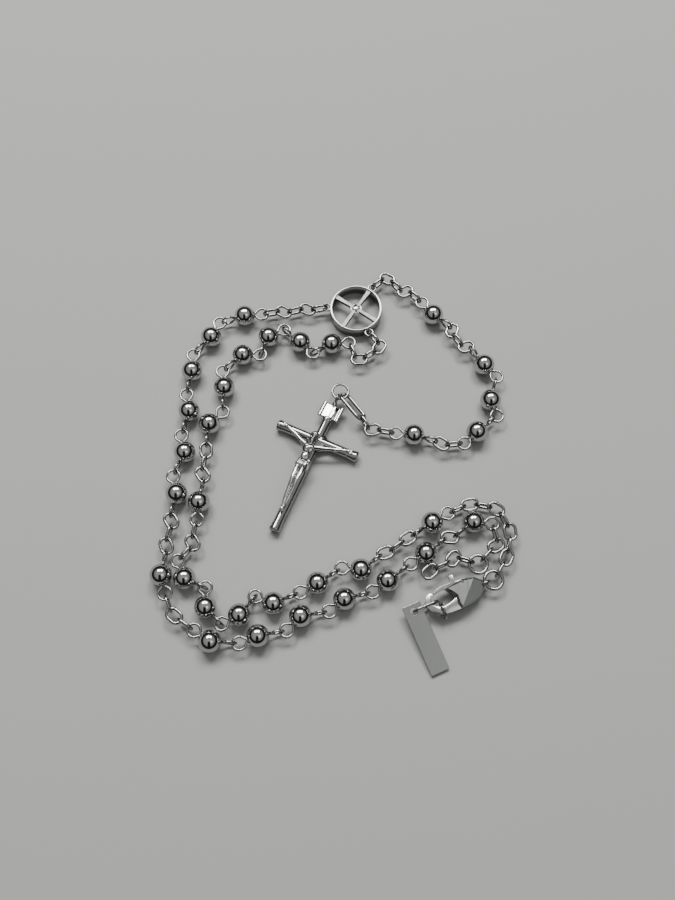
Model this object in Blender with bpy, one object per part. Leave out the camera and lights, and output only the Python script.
"""Rosary necklace laid out flat: 33 beads on eye pins, cable chain, centrepiece, crucifix, clasp, tag.

Drawn in units in which a bead is 4.6 across; UNIT makes that bead 5 mm.  +Z is up, the floor is z = 0.
Every strand is a row of rings that lie flat (F) or stand upright (V) in turn.  A strand is laid out as a
polyline of stations: the centre of every flat ring end and the centre of every bead.
"""
import math

import bmesh
import bpy
import numpy as np
from mathutils import Matrix, Vector

BEAD_MM = 5.0            # real bead diameter

# beads and their eye pins
BEAD_R = 2.3
UNIT = 0.001 * BEAD_MM / (2 * BEAD_R)   # metres per drawing unit
EYE_OUT = 3.9            # bead centre to eye centre
EYE_R = 1.325            # eye centre line
EYE_W = 0.275            # eye wire radius
# cable chain
LINK_L = 3.4             # length between the two end wires
LINK_R = 1.15            # end arc centre line
LINK_W = 0.35            # wire radius
LINK_S = LINK_L - 2 * LINK_R
FUSE = 0.60              # wire spacing where two links of one stretch meet
SLACK = 0.15             # clearance between the wires of two moving pieces
Z0 = 2.3                 # height of every ring centre

# centrepiece
HUB = (4.2, 34.0)
HOOP_R, HOOP_T, HOOP_H = 5.85, 0.5, 3.0
LUG_R, LUG_W, LUG_OUT = 0.85, 0.25, 6.6
LUG_A, LUG_P, LUG_B = 176.0, 56.0, -64.0
BAND_DIR = -34.0
ARM_Z, ARM_SLIM, ARM_WIDE, BOSS_R = 2.3, 0.4, 0.6, 1.05
ARM_STEP = 0.06          # the second bar and the boss sit a little higher, so no faces coincide

# rings
END_RING_R, CLASP_RING_R, RING_W = 1.85, 1.85, 0.35
BAIL_L, BAIL_R, BAIL_W, BAIL_ROLL = 7.3, 1.3, 0.42, 42.0
CRUC_RING_R, CRUC_RING_W = 1.75, 0.33

# clasp, drawn along +x from the eye to the hook, lying flat
CLASP_T, HOOK_T = 3.0, 1.5
CLASP_DIR = 200.0
TAG_L, TAG_W, TAG_T, TAG_HOLE = 14.4, 3.9, 0.6, 0.75

# crucifix, drawn with +y from the foot to the top
CROSS_UP, CROSS_DOWN, CROSS_ARM, CROSS_R = 5.9, 21.7, 9.2, 1.06
CROSS_Z = 1.27
CORPUS_Z = CROSS_Z + CROSS_R + 0.08
LEAN = -0.7              # the figure hangs to one side of the post

SET_BACK = 1.1           # eye set back where the strand lies slack

# routes.  ("chain", links, hints) or ("bead", x, y, set back)
OUTER = [
    ("chain", 5, ()),
    ("bead", -20.9, 32.3), ("bead", -28.3, 27.0), ("bead", -32.1, 18.6),
    ("bead", -32.2, 9.0), ("bead", -32.6, -0.5), ("bead", -33.8, -9.8),
    ("chain", 3, ()),
    ("bead", -35.9, -26.8),
    ("chain", 3, ((-34.0, -34.5),)),
    ("bead", -25.2, -40.4), ("bead", -15.8, -39.2), ("bead", -7.4, -35.3),
    ("bead", 1.4, -31.9), ("bead", 10.2, -28.1), ("bead", 18.2, -22.4),
    ("chain", 1, ()),
    ("bead", 28.4, -16.2),
    ("chain", 3, ((32.6, -16.4), (32.2, -19.6))),
]
INNER = [
    ("chain", 5, ((8.9, 24.6), (7.6, 22.9), (3.6, 22.2), (1.5, 26.0))),
    ("bead", -1.5, 25.0), ("bead", -7.7, 25.9, SET_BACK), ("bead", -15.8, 27.0, SET_BACK),
    ("bead", -21.3, 22.9, SET_BACK), ("bead", -24.9, 15.0), ("bead", -27.6, 6.0),
    ("chain", 3, ()),
    ("bead", -29.0, -11.7),
    ("chain", 3, ()),
    ("bead", -30.7, -28.2), ("bead", -27.2, -33.9, SET_BACK), ("bead", -19.7, -34.6, SET_BACK),
    ("bead", -12.6, -33.2, SET_BACK), ("bead", -4.4, -28.8), ("bead", 4.7, -25.8),
    ("chain", 3, ()),
    ("bead", 19.0, -16.4),
    ("chain", 9, ((24.0, -12.6), (29.0, -10.5), (34.4, -12.0), (36.9, -17.0), (36.2, -22.4))),
]
DROP = [
    ("chain", 5, ((11.5, 41.2), (16.5, 37.6))),
    ("bead", 21.7, 32.6),
    ("chain", 3, ((25.6, 28.6), (28.2, 25.2))),
    ("bead", 32.1, 20.5), ("bead", 33.4, 11.7), ("bead", 30.0, 4.2),
    ("chain", 2, ((25.6, 0.6), (22.0, 1.6))),
    ("bead", 16.2, 3.5),
    ("chain", 3, ((11.0, 4.2), (7.6, 4.8))),
]


def unit(deg):
    return np.array([math.cos(math.radians(deg)), math.sin(math.radians(deg))])


def angle(v):
    return math.degrees(math.atan2(v[1], v[0]))


# ---------------------------------------------------------------- layout
def gap(flat, wire, fused=False):
    """Distance from a flat ring's centre to the upright wire that hangs in it."""
    return flat[0] - (FUSE if fused else flat[1] + wire + SLACK)


def spare_room(item):
    """How far an eye sits back from the pulled-tight position in the eye before it."""
    return item[3] if len(item) > 3 else 0.0


EYE, LINK, LUG = (EYE_R, EYE_W), (LINK_R, LINK_W), (LUG_R, LUG_W)


def walk(items, last=None, first=LUG):
    """Turn a route into stations and parts.

    A station is [length from the station before, kind, item]; kind 'f' is a flat ring centre, 'bead' a
    bead centre.  A part is a tuple (kind, item, station number, ...) used once the stations are placed.
    """
    st, parts = [], []
    cur, cur_item = first, -1          # flat ring that the next upright wire hangs in
    pend = None                        # (distance so far, wire radius, item) of an upright piece
    flat_next = False
    for n, item in enumerate(items):
        if item[0] == "chain":
            for _ in range(item[1]):
                if flat_next:
                    st.append([pend[0] + gap(LINK, pend[1], pend[2] == n), "f", n])
                    st.append([LINK_S, "f", n])
                    parts.append(("flat", n, len(st) - 1))
                    cur, cur_item, pend = LINK, n, None
                else:
                    g = gap(cur, LINK_W, cur_item == n)
                    parts.append(("upright", n, len(st), g))
                    pend = (g + LINK_L, LINK_W, n)
                flat_next = not flat_next
        elif flat_next:
            st.append([pend[0] + gap(EYE, pend[1]) - spare_room(item), "f", n])
            st.append([EYE_OUT, "bead", n])
            parts.append(("bead_fv", n, len(st)))
            pend, cur = (EYE_OUT + EYE_R, EYE_W, n), None
        else:
            st.append([gap(cur, EYE_W) + EYE_R + EYE_OUT - spare_room(item), "bead", n])
            st.append([EYE_OUT, "f", n])
            parts.append(("bead_vf", n, len(st) - 1))
            cur, cur_item, pend = EYE, n, None
    if pend is not None:
        st.append([pend[0] + gap(last or EYE, pend[1]), "f", len(items)])
    return st, parts


def lay(start, items, pts, tail_target=None, side=0):
    """Lay the strand along its route: keep every length, stay near the bead targets."""
    n = len(pts)
    length = np.array([p[0] for p in pts])
    target = [None] * n
    for j, p in enumerate(pts):
        if p[1] == "bead":
            target[j] = np.array(items[p[2]][1:3], float)
    if tail_target is not None:
        target[-1] = np.array(tail_target, float)
    pos = np.zeros((n + 1, 2))
    pos[0] = start
    j = 0
    while j < n:                       # first guess, run by run between targets
        e = j
        while e < n - 1 and target[e] is None:
            e += 1
        hints = []
        for q in range(j, e + 1):
            it = items[pts[q][2]] if pts[q][2] < len(items) else None
            if it is not None and it[0] == "chain" and it[2]:
                hints = [np.array(h, float) for h in it[2]]
                break
        goal = target[e] if target[e] is not None else (hints[-1] if hints else pos[j])
        line = [pos[j]] + hints + [goal]
        seg = [float(np.linalg.norm(b - a)) + 1e-9 for a, b in zip(line, line[1:])]
        total, want, run = sum(seg), float(length[j:e + 1].sum()), 0.0
        for q in range(j, e + 1):
            run += length[q]
            s = run / want * total
            for a, b, l in zip(line, line[1:], seg):
                if s <= l or b is line[-1]:
                    pos[q + 1] = a + (b - a) * min(s / l, 1.0)
                    break
                s -= l
        if e == j + 1 and pts[j][1] == "f":      # bead to bead: bow the joint to the strand's free side
            a, b = pos[j], pos[e + 1]
            d = b - a
            slack = max(0.0, (want / 2) ** 2 - (float(np.linalg.norm(d)) / 2) ** 2)
            off = np.array([-d[1], d[0]]) / (np.linalg.norm(d) + 1e-9) * math.sqrt(slack) * side
            pos[j + 1] = pos[j + 1] + off
        j = e + 1
    guess = pos.copy()
    rounds = 2400
    for it in range(rounds):
        pull = 0.12 * (1 - it / rounds)
        for q in range(n):
            if target[q] is not None:
                pos[q + 1] += pull * (target[q] - pos[q + 1])
            else:
                pos[q + 1] += 0.25 * pull * (guess[q + 1] - pos[q + 1])
        for q in range(n):
            a, b = pos[q], pos[q + 1]
            d = b - a
            l = math.hypot(d[0], d[1]) + 1e-12
            c = d * ((l - length[q]) / l)
            if q == 0:
                pos[1] = b - c
            else:
                pos[q] = a + 0.5 * c
                pos[q + 1] = b - 0.5 * c
        for q in range(1, n):          # bends stay small: nearly straight pins, no folded links
            limit = 42.0 if pts[q - 1][1] == "bead" else 72.0
            a, b = pos[q - 1], pos[q + 1]
            la, lb = length[q - 1], length[q]
            d = b - a
            l = math.hypot(d[0], d[1]) + 1e-12
            least = math.sqrt(la * la + lb * lb + 2 * la * lb * math.cos(math.radians(limit)))
            if l < least:
                c = d * ((l - least) / l) * 0.5
                if q > 1:
                    pos[q - 1] = a + 0.5 * c
                pos[q + 1] = b - 0.5 * c
    head = np.diff(pos, axis=0)
    head /= np.linalg.norm(head, axis=1)[:, None]
    fixed = np.zeros((n + 1, 2))
    fixed[0] = start
    for q in range(n):
        fixed[q + 1] = fixed[q] + head[q] * length[q]
    return fixed


def strand(start, items, last=None, tail_target=None, first=LUG, side=0):
    """Place a strand.  Returns station positions (0 is the ring it starts from) and its parts."""
    st, parts = walk(items, last, first)
    return lay(start, items, st, tail_target, side), st, parts


def pivots(pos, parts, items, first_r=LUG_R):
    """For each item: the wire its joint turns about, and the direction of the strand there."""
    out = []
    for n in range(len(items)):
        kind, _, i = next(p for p in parts if p[1] == n)[:3]
        ring = first_r if n == 0 else (LINK_R if items[n - 1][0] == "chain" else EYE_R)
        if kind == "upright":              # hangs in the flat ring at station i
            f, u = pos[i], pos[i + 1] - pos[i]
        elif kind == "bead_vf":
            f, u = pos[i - 1], pos[i] - pos[i - 1]
        elif kind == "bead_fv":            # its flat eye takes the upright wire before it
            f, u, ring = pos[i - 1], pos[i - 1] - pos[i - 2], -EYE_R
        else:
            f, u, ring = pos[i], pos[i] - pos[i - 1], -LINK_R
        u = u / np.linalg.norm(u)
        out.append((f + u * ring, u))
    return out


# ---------------------------------------------------------------- meshes
def ring_path(length, radius, steps):
    """Closed oval in the xy plane, its two end centres on the x axis at 0 and length."""
    half = steps // 2
    pts = []
    for side, cx in ((0, length), (1, 0.0)):
        for k in range(half + (1 if length > 0 else 0)):
            n = half if length > 0 else half
            a = -math.pi / 2 + math.pi * k / n + side * math.pi
            pts.append((cx + radius * math.cos(a), radius * math.sin(a), 0.0))
    return pts


def tube(path, wire, sides=4, closed=True, normal=(0, 0, 1), flat=1.0):
    """Mesh of a round wire along a path that lies in the plane with the given normal."""
    bm = bmesh.new()
    path = [Vector(p) for p in path]
    nrm = Vector(normal).normalized()
    rows = []
    count = len(path)
    for i, p in enumerate(path):
        if closed:
            t = (path[(i + 1) % count] - path[i - 1]).normalized()
            a = (path[i] - path[i - 1]).normalized()
            mitre = 1.0 / max(0.5, a.dot(t))
        else:
            q0, q1 = path[max(i - 1, 0)], path[min(i + 1, count - 1)]
            t, mitre = (q1 - q0).normalized(), 1.0
        side = t.cross(nrm).normalized()
        w = wire[i] if isinstance(wire, (list, tuple)) else wire
        rows.append([bm.verts.new(p + side * (w * mitre * math.cos(2 * math.pi * k / sides))
                                  + nrm * (w * flat * math.sin(2 * math.pi * k / sides)))
                     for k in range(sides)])
    for i in range(count if closed else count - 1):
        r0, r1 = rows[i], rows[(i + 1) % count]
        for k in range(sides):
            bm.faces.new((r0[k], r0[(k + 1) % sides], r1[(k + 1) % sides], r1[k]))
    if not closed:
        bm.faces.new(rows[0])
        bm.faces.new(list(reversed(rows[-1])))
    bmesh.ops.recalc_face_normals(bm, faces=bm.faces)
    return bm


def ball(radius, segs=10, rows=6, scale=(1, 1, 1)):
    bm = bmesh.new()
    bmesh.ops.create_uvsphere(bm, u_segments=segs, v_segments=rows, radius=radius)
    bmesh.ops.scale(bm, vec=scale, verts=bm.verts)
    return bm


def ngon(radius, count):
    """Corners of a regular polygon."""
    return [(radius * math.cos(2 * math.pi * k / count), radius * math.sin(2 * math.pi * k / count))
            for k in range(count)]


def prism(outline, z0, z1):
    bm = bmesh.new()
    low = [bm.verts.new((x, y, z0)) for x, y in outline]
    top = [bm.verts.new((x, y, z1)) for x, y in outline]
    bm.faces.new(list(reversed(low)))
    bm.faces.new(top)
    for i in range(len(low)):
        j = (i + 1) % len(low)
        bm.faces.new((low[i], low[j], top[j], top[i]))
    bmesh.ops.recalc_face_normals(bm, faces=bm.faces)
    return bm


def hoop(outer, inner, z0, z1, segs):
    bm = bmesh.new()
    rows = []
    for r, z in ((outer, z0), (outer, z1), (inner, z1), (inner, z0)):
        rows.append([bm.verts.new((x, y, z)) for x, y in ngon(r, segs)])
    for i in range(4):
        for k in range(segs):
            m = (k + 1) % segs
            bm.faces.new((rows[i][k], rows[i][m], rows[(i + 1) % 4][m], rows[(i + 1) % 4][k]))
    bmesh.ops.recalc_face_normals(bm, faces=bm.faces)
    return bm


def place(bm, x=0.0, y=0.0, z=0.0, heading=0.0, roll=0.0, pitch=0.0):
    """Turn about the x axis by roll, tip the x axis up by pitch, turn it to the heading, then move."""
    m = (Matrix.Translation((x, y, z)) @ Matrix.Rotation(math.radians(heading), 4, "Z")
         @ Matrix.Rotation(math.radians(-pitch), 4, "Y") @ Matrix.Rotation(math.radians(roll), 4, "X"))
    bmesh.ops.transform(bm, matrix=m, verts=bm.verts)
    return bm


def solid(bm):
    bmesh.ops.triangulate(bm, faces=bm.faces)
    me = bpy.data.meshes.new("tmp")
    bm.to_mesh(me)
    bm.free()
    ob = bpy.data.objects.new("tmp", me)
    bpy.context.scene.collection.objects.link(ob)
    return ob


def combine(a, b, how="UNION"):
    mod = a.modifiers.new("join", "BOOLEAN")
    mod.operation, mod.solver, mod.object = how, "EXACT", b
    bpy.context.view_layer.update()
    got = bpy.data.meshes.new_from_object(a.evaluated_get(bpy.context.evaluated_depsgraph_get()))
    a.modifiers.clear()
    old, a.data = a.data, got
    bpy.data.meshes.remove(old)
    bpy.data.objects.remove(b)
    return a


def finish(name, bodies, origin, colour=(0.62, 0.62, 0.60), cut=()):
    """Join closed bodies into one, name the result and put its origin where it turns."""
    obs = [solid(b) for b in bodies]
    ob = obs[0]
    for other in obs[1:]:
        combine(ob, other)
    for c in cut:
        combine(ob, solid(c), "DIFFERENCE")
    bm = bmesh.new()
    bm.from_mesh(ob.data)
    bmesh.ops.remove_doubles(bm, verts=bm.verts, dist=1e-5)
    bmesh.ops.dissolve_degenerate(bm, dist=1e-6, edges=bm.edges)
    bmesh.ops.triangulate(bm, faces=bm.faces)
    off = Vector(origin)
    for v in bm.verts:
        v.co = (v.co - off) * UNIT
    me = bpy.data.meshes.new(name)
    bm.to_mesh(me)
    bm.free()
    old = ob.data
    ob.data = me
    bpy.data.meshes.remove(old)
    ob.name = name
    ob.location = off * UNIT
    mat = bpy.data.materials.new(name + "_metal")
    mat.diffuse_color = (*colour, 1)
    me.materials.append(mat)
    return ob


def at(p, z=Z0):
    return (float(p[0]), float(p[1]), z)


# ---------------------------------------------------------------- strand pieces
def upright_link(a, b, first, length=LINK_L):
    """Link standing on edge; its near wire is `first` past the flat centre a, on the way to b."""
    h = angle(b - a)
    u = unit(h)
    c = a + u * (first + LINK_R)
    return place(tube(ring_path(length - 2 * LINK_R, LINK_R, 8), LINK_W), c[0], c[1], Z0, h, 90)


def flat_link(a, b):
    return place(tube(ring_path(LINK_S, LINK_R, 8), LINK_W), a[0], a[1], Z0, angle(b - a))


def eye(c, toward, upright):
    """Eye loop of a bead pin, drawn as a teardrop that starts inside the bead."""
    h = angle(toward)
    pts = [(-EYE_OUT + BEAD_R - 0.35, 0.0, 0.0)]
    for k in range(7):
        a = math.radians(-120 + 40 * k)
        pts.append((EYE_R * math.cos(a), EYE_R * math.sin(a), 0.0))
    m = np.array(c) + unit(h) * EYE_OUT
    return place(tube(pts, EYE_W), m[0], m[1], Z0, h, 90 if upright else 0)


def bead_link(kind, pos, i):
    """Ball with its two eyes."""
    if kind == "bead_fv":                  # stations: i - 1 flat eye, i bead, i + 1 next flat centre
        c, flat, up = pos[i], pos[i - 1], pos[i + 1]
    else:                                  # stations: i - 1 flat centre before, i bead, i + 1 flat eye
        c, flat, up = pos[i], pos[i + 1], pos[i - 1]
    return [place(ball(BEAD_R, 10, 6), c[0], c[1], Z0, angle(up - c)),
            eye(c, flat - c, False), eye(c, up - c, True)]


def build_strand(prefix, chain_names, items, pos, parts, pivs):
    """Make every node of a strand.  Returns its node names in order."""
    beads, names = 0, []
    chains = iter(chain_names)
    for n, item in enumerate(items):
        bodies = []
        for p in parts:
            if p[1] != n:
                continue
            if p[0] == "upright":
                bodies.append(upright_link(pos[p[2]], pos[p[2] + 1], p[3]))
            elif p[0] == "flat":
                bodies.append(flat_link(pos[p[2]], pos[p[2] + 1]))
            elif p[0] == "bead_fv":
                bodies += bead_link("bead_fv", pos, p[2])
            else:
                bodies += bead_link("bead_vf", pos, p[2])
        if item[0] == "bead":
            beads += 1
            name = "%s_bead_%02d" % (prefix, beads)
        else:
            name = next(chains)
        finish(name, bodies, at(pivs[n][0]))
        names.append(name)
    return names


# ---------------------------------------------------------------- single pieces
JOINTS = []            # (parent, child, kind, point, axis) in the order the tree is built


def joint(parent, child, kind, point, axis):
    JOINTS.append((parent, child, kind, [float(v) for v in point], [float(v) for v in axis]))


def lift(u):
    """Axis that raises what lies ahead."""
    return (float(u[1]), float(-u[0]), 0.0)


def hub_lug(deg):
    return np.array(HUB) + unit(deg) * LUG_OUT


def flat_ring(c, radius, wire, steps=12, z=Z0):
    return place(tube([(x, y, 0) for x, y in ngon(radius, steps)], wire), c[0], c[1], z)


def make_medal():
    """Open hoop with four plain arms, a round boss in the middle and three lugs."""
    x, y = HUB
    bodies = [place(hoop(HOOP_R, HOOP_R - HOOP_T, 0.0, HOOP_H, 24), x, y, 0)]
    reach = HOOP_R - HOOP_T / 2
    for turn in (0, 90):               # two bars cross, wider where they meet the wall
        bar = tube([(-reach, 0, 0), (0, 0, 0), (reach, 0, 0)], [ARM_WIDE, ARM_SLIM, ARM_WIDE], 8, False)
        bodies.append(place(bar, x, y, ARM_Z + (ARM_STEP if turn else 0.0), BAND_DIR + turn))
    bodies.append(place(ball(BOSS_R, 12, 6, (1, 1, 0.6)), x, y, ARM_Z + ARM_STEP / 2, BAND_DIR + 11))
    for a in (LUG_A, LUG_P, LUG_B):
        c = hub_lug(a)
        bodies.append(place(tube(ring_path(0, LUG_R, 8), LUG_W), c[0], c[1], Z0, a))
    finish("centre_medal", bodies, (x, y, 0))


def make_bail(c, target):
    """Long split oval between the drop chain and the crucifix ring.  Returns the ring centre."""
    u = np.array(target, float) - c
    u /= np.linalg.norm(u)
    finish("crucifix_bail", [place(tube(ring_path(BAIL_L - 2 * BAIL_R, BAIL_R, 8), BAIL_W, 6), c[0], c[1], Z0,
                                   angle(u), BAIL_ROLL)], at(c - u * BAIL_R))
    ring_c = c + u * (BAIL_L - BAIL_R + CRUC_RING_R - (CRUC_RING_W + BAIL_W + SLACK))
    finish("crucifix_ring", [flat_ring(ring_c, CRUC_RING_R, CRUC_RING_W)], at(ring_c - u * CRUC_RING_R))
    return ring_c, u


def make_crucifix(ring_c, heading):
    """Round-bar cross with end buttons, a blank scroll plate and the upright top eye."""
    up = unit(heading)                     # from the foot to the ring
    reach = 12.2
    o = ring_c - up * reach
    turn = heading - 90                    # local +y is `up`

    def lay_on(bm, dz=0.0):
        return place(bm, o[0], o[1], dz, turn)

    eye_w, eye_r = 0.3, 0.8
    near = reach - (CRUC_RING_R - (CRUC_RING_W + eye_w + 0.2))
    eye_y = near - eye_r
    bodies = [lay_on(tube([(0, -CROSS_DOWN, 0), (0, CROSS_UP, 0)], CROSS_R, 8, False), CROSS_Z),
              lay_on(tube([(-CROSS_ARM, 0, 0), (CROSS_ARM, 0, 0)], CROSS_R, 8, False), CROSS_Z),
              lay_on(place(ball(1.0, 12, 6, (2.5, 2.2, 1.0)), 0, -0.3), CROSS_Z)]
    for a, b in (((0, -CROSS_DOWN - 0.25), (0, -CROSS_DOWN + 0.6)),
                 ((-CROSS_ARM - 0.25, 0), (-CROSS_ARM + 0.6, 0)),
                 ((CROSS_ARM + 0.25, 0), (CROSS_ARM - 0.6, 0))):
        bodies.append(lay_on(tube([(*a, 0), (*b, 0)], CROSS_R + 0.18, 8, False), CROSS_Z))
    plate = [(-2.1, 5.4), (2.1, 5.4), (1.95, 7.1), (2.1, 8.8), (-2.1, 8.8), (-1.95, 7.1)]
    bodies.append(lay_on(prism([(x, y) for x, y in plate], 0.95, 1.95)))
    for x in (-2.0, 2.0):
        bodies.append(lay_on(tube([(x, 5.3, 1.85), (x, 8.9, 1.85)], 0.42, 6, False)))
    bodies.append(lay_on(tube([(0, 8.6, 1.45), (0, eye_y - eye_r + 0.1, 1.95)], 0.4, 6, False, (1, 0, 0))))
    e = o + up * eye_y
    bodies.append(place(tube(ring_path(0, eye_r, 8), eye_w), e[0], e[1], Z0, heading, 90))
    finish("crucifix_cross", bodies, at(ring_c - up * CRUC_RING_R))

    z = CORPUS_Z
    figure = [lay_on(place(ball(1.0, 8, 6, (1.35, 2.3, 0.85)), LEAN, -3.7, z + 0.87)),
              lay_on(place(ball(1.0, 8, 6, (1.35, 1.7, 0.9)), 0.7 * LEAN, -6.9, z + 0.92)),
              lay_on(place(ball(0.92, 8, 6, (0.85, 1.05, 0.95)), LEAN, 0.05, z + 0.95)),
              lay_on(tube([(LEAN, -2.2, z + 0.85), (LEAN, -0.2, z + 0.95)], 0.42, 6, False, (1, 0, 0)))]
    for s in (-1, 1):
        arm = [(LEAN + s * 0.8, -2.5, z + 0.85), (s * 4.0, -1.25, z + 0.65), (s * 7.0, 0.0, z + 0.5)]
        leg = [(0.7 * LEAN + s * 0.55, -7.4, z + 0.95), (0.7 * LEAN + s * 0.55, -10.6, z + 1.4),
               (0.4 * LEAN + s * 0.35, -15.6, z + 0.75), (0.4 * LEAN + s * 0.2, -17.6, z + 0.5)]
        figure.append(lay_on(tube(arm, [0.55, 0.45, 0.33], 6, False)))
        figure.append(lay_on(place(ball(0.48, 6, 4, (1.1, 0.9, 0.9)), s * 7.3, 0.05, z + 0.47)))
        figure.append(lay_on(tube(leg, [0.72, 0.6, 0.42, 0.34], 6, False)))
        figure.append(lay_on(place(prism(ngon(0.48, 6), z + 0.5, z + 1.05), s * 7.3, 0.05)))
    finish("crucifix_corpus", figure, at(ring_c - up * CRUC_RING_R))
    return up


HOOK_OUTLINE = [(5.8, 0.4), (7.5, 0.7), (9.2, 1.3), (10.6, 1.5), (11.9, 1.1), (12.6, 0.2), (12.5, -0.6),
                (11.7, -1.1), (12.3, -1.8), (13.2, -1.4), (13.9, -0.3), (13.7, 1.0), (12.8, 2.3), (11.2, 3.0),
                (9.0, 3.2), (5.8, 2.8)]
BODY_OUTLINE = [(1.3, -0.8), (2.9, -1.9), (5.0, -2.2), (7.0, -2.0), (9.0, -1.6), (8.2, -0.4), (7.6, 0.5),
                (7.7, 2.0), (7.4, 3.2), (5.0, 2.9), (2.6, 2.2), (1.3, 0.8)]
LEVER_OUTLINE = [(5.0, -2.1), (5.6, -2.35), (6.4, -2.5), (6.5, -3.7), (7.4, -3.8), (7.7, -2.5), (9.6, -2.45),
                 (11.3, -1.85), (11.4, -1.4), (9.6, -1.65), (7.4, -1.6), (5.7, -1.15), (5.0, -1.3)]
LEVER_PIVOT = (5.35, -1.7)


def make_clasp(ring_c):
    """Claw clasp lying flat: body with fixed hook, and the sprung lever in its slot."""
    u, v = unit(CLASP_DIR), unit(CLASP_DIR + 90)
    near = CLASP_RING_R - (RING_W + 0.35 + SLACK)
    o = ring_c + u * near

    def world(x, y):
        return o + u * x + v * y

    def set_in(bm):
        return place(bm, o[0], o[1], Z0, CLASP_DIR)

    h, t = CLASP_T / 2, HOOK_T / 2
    body = [set_in(prism(BODY_OUTLINE, -h, h)), set_in(prism(HOOK_OUTLINE, -t, t)),
            set_in(place(tube(ring_path(0, 0.9, 8), 0.35), 0.9, 0, 0, 0, 90))]
    slot = prism([(4.2, -0.7), (4.2, -4.0), (9.8, -4.0), (9.8, -0.7)], -0.7, 0.7)
    finish("clasp_body", body, at(ring_c + u * CLASP_RING_R), cut=[set_in(slot)])
    p = world(*LEVER_PIVOT)
    finish("clasp_lever", [set_in(prism(LEVER_OUTLINE, -0.55, 0.55))], at(p))
    hook = world(11.0, 2.2)
    finish("hook_ring", [place(tube(ring_path(0, 1.7, 12), 0.3), hook[0], hook[1], Z0, CLASP_DIR + 90, 90)],
           at(world(11.0, 2.1)))
    a, b = world(11.3, 0.1), world(16.6, 0.35)
    d = (b - a) / np.linalg.norm(b - a)
    length = float(np.linalg.norm(b - a))
    c = a + d * LINK_R
    loop = place(tube(ring_path(length - 2 * LINK_R, LINK_R, 8), 0.3), c[0], c[1], Z0, angle(d), 90)
    finish("tag_link", [loop], at(world(13.2, 0.2)))
    make_tag(b)
    return p, world, b


def make_tag(hole):
    tilt = math.degrees(math.asin((Z0 - 0.45) / (TAG_L - 1.5)))
    c = 0.5
    w = TAG_W / 2
    x0, x1 = -1.5, TAG_L - 1.5
    corners = [(x0, -w + c), (x0 + c, -w), (x1 - c, -w), (x1, -w + c),
               (x1, w - c), (x1 - c, w), (x0 + c, w), (x0, w - c)]
    plate = prism(corners, -TAG_T / 2, TAG_T / 2)
    bore = prism(ngon(TAG_HOLE, 10), -1, 1)
    finish("name_tag", [place(plate, hole[0], hole[1], Z0, TAG_DIR, 0, -tilt)], at(hole),
           cut=[place(bore, hole[0], hole[1], Z0, TAG_DIR, 0, -tilt)])


TAG_DIR = -66.5
CRUC_DIR = 66.0


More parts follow.
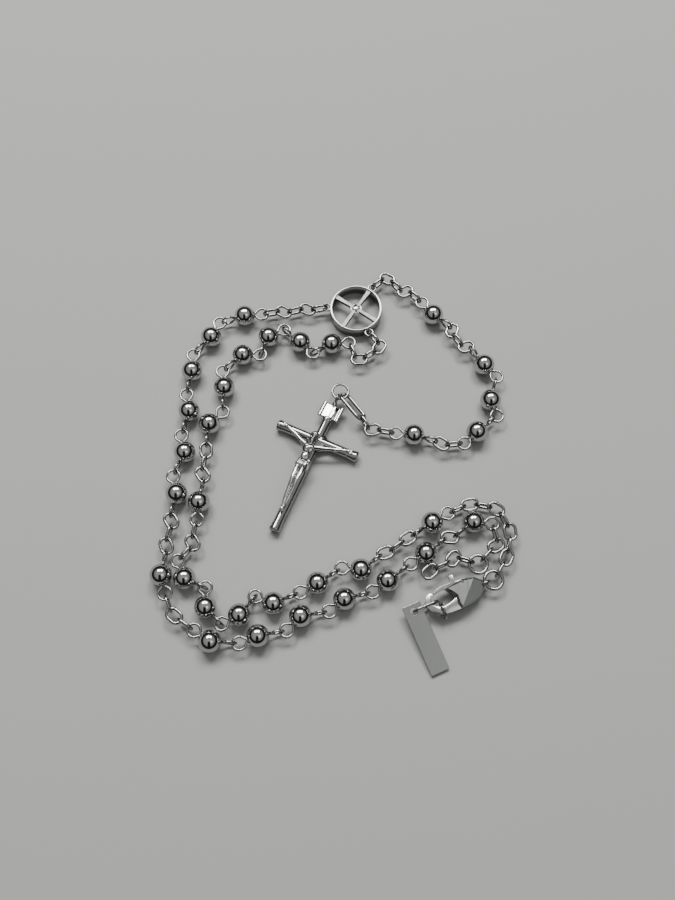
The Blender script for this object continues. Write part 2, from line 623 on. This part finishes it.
def build():
    for ob in list(bpy.data.objects):
        bpy.data.objects.remove(ob, do_unlink=True)
    make_medal()
    strands = (
        ("outer", OUTER, LUG_A, (END_RING_R, RING_W), (28.8, -24.7), -1,
         ["outer_chain_%d" % k for k in (1, 2, 3, 4)] + ["outer_tail_chain"]),
        ("inner", INNER, LUG_B, (CLASP_RING_R, RING_W), (31.2, -28.8), 1,
         ["inner_chain_%d" % k for k in (1, 2, 3, 4)] + ["inner_tail_chain"]),
        ("drop", DROP, LUG_P, (BAIL_R, BAIL_W), (4.9, 8.0), 1, ["drop_chain_%d" % k for k in (1, 2, 3, 4)]),
    )
    ends = {}
    for prefix, items, lug, last, goal, side, chains in strands:
        pos, _, parts = strand(hub_lug(lug), items, last, goal, LUG, side)
        piv = pivots(pos, parts, items)
        names = build_strand(prefix, chains, items, pos, parts, piv)
        ends[prefix] = (pos, names[-1])
        for n, name in enumerate(names):
            joint("centre_medal" if n == 0 else names[n - 1], name, "lift", at(piv[n][0]), lift(piv[n][1]))

    # end ring and the spare end of the chain
    pos, tail = ends["outer"]
    ring_c, u = pos[-1], pos[-1] - pos[-2]
    u = u / np.linalg.norm(u)
    finish("end_ring", [flat_ring(ring_c, END_RING_R, RING_W)], at(ring_c - u * END_RING_R))
    joint(tail, "end_ring", "lift", at(ring_c - u * END_RING_R), lift(u))
    spare = [("chain", 4, ((24.4, -23.4), (19.6, -25.8)))]
    sp, _, parts = strand(ring_c, spare, None, (18.5, -26.6), (END_RING_R, RING_W))
    piv = pivots(sp, parts, spare, END_RING_R)
    build_strand("spare", ["extension_chain"], spare, sp, parts, piv)
    joint("end_ring", "extension_chain", "lift", at(piv[0][0]), lift(piv[0][1]))

    # clasp ring, clasp and tag
    pos, tail = ends["inner"]
    ring_c, u = pos[-1], pos[-1] - pos[-2]
    u = u / np.linalg.norm(u)
    finish("clasp_ring", [flat_ring(ring_c, CLASP_RING_R, RING_W)], at(ring_c - u * CLASP_RING_R))
    joint(tail, "clasp_ring", "lift", at(ring_c - u * CLASP_RING_R), lift(u))
    cu = unit(CLASP_DIR)
    pivot, world, hole = make_clasp(ring_c)
    joint("clasp_ring", "clasp_body", "lift", at(ring_c + cu * CLASP_RING_R), lift(cu))
    joint("clasp_body", "clasp_lever", "lever", at(pivot), (0, 0, 1))
    joint("clasp_body", "hook_ring", "tilt", at(world(11.0, 2.1)), (float(cu[0]), float(cu[1]), 0))
    joint("clasp_body", "tag_link", "swing", at(world(13.2, 0.2)), (0, 0, 1))
    joint("tag_link", "name_tag", "swing", at(hole), (0, 0, 1))

    # crucifix
    pos, tail = ends["drop"]
    c = pos[-1]
    ring_c, u = make_bail(c, (0.4, 13.9))
    joint(tail, "crucifix_bail", "lift", at(c - u * BAIL_R), lift(u))
    joint("crucifix_bail", "crucifix_ring", "lift", at(ring_c - u * CRUC_RING_R), lift(u))
    up = make_crucifix(ring_c, CRUC_DIR)
    joint("crucifix_ring", "crucifix", "lift", at(ring_c - up * CRUC_RING_R), lift(-up))

    low = np.array([1e9] * 3)
    high = -low
    obs = [ob for ob in bpy.data.objects if ob.type == "MESH"]
    for ob in obs:
        co = np.array([ob.matrix_basis @ v.co for v in ob.data.vertices])
        low, high = np.minimum(low, co.min(axis=0)), np.maximum(high, co.max(axis=0))
    shift = Vector(((low[0] + high[0]) / 2, (low[1] + high[1]) / 2, low[2]))
    for ob in obs:
        ob.location = ob.location - shift


build()
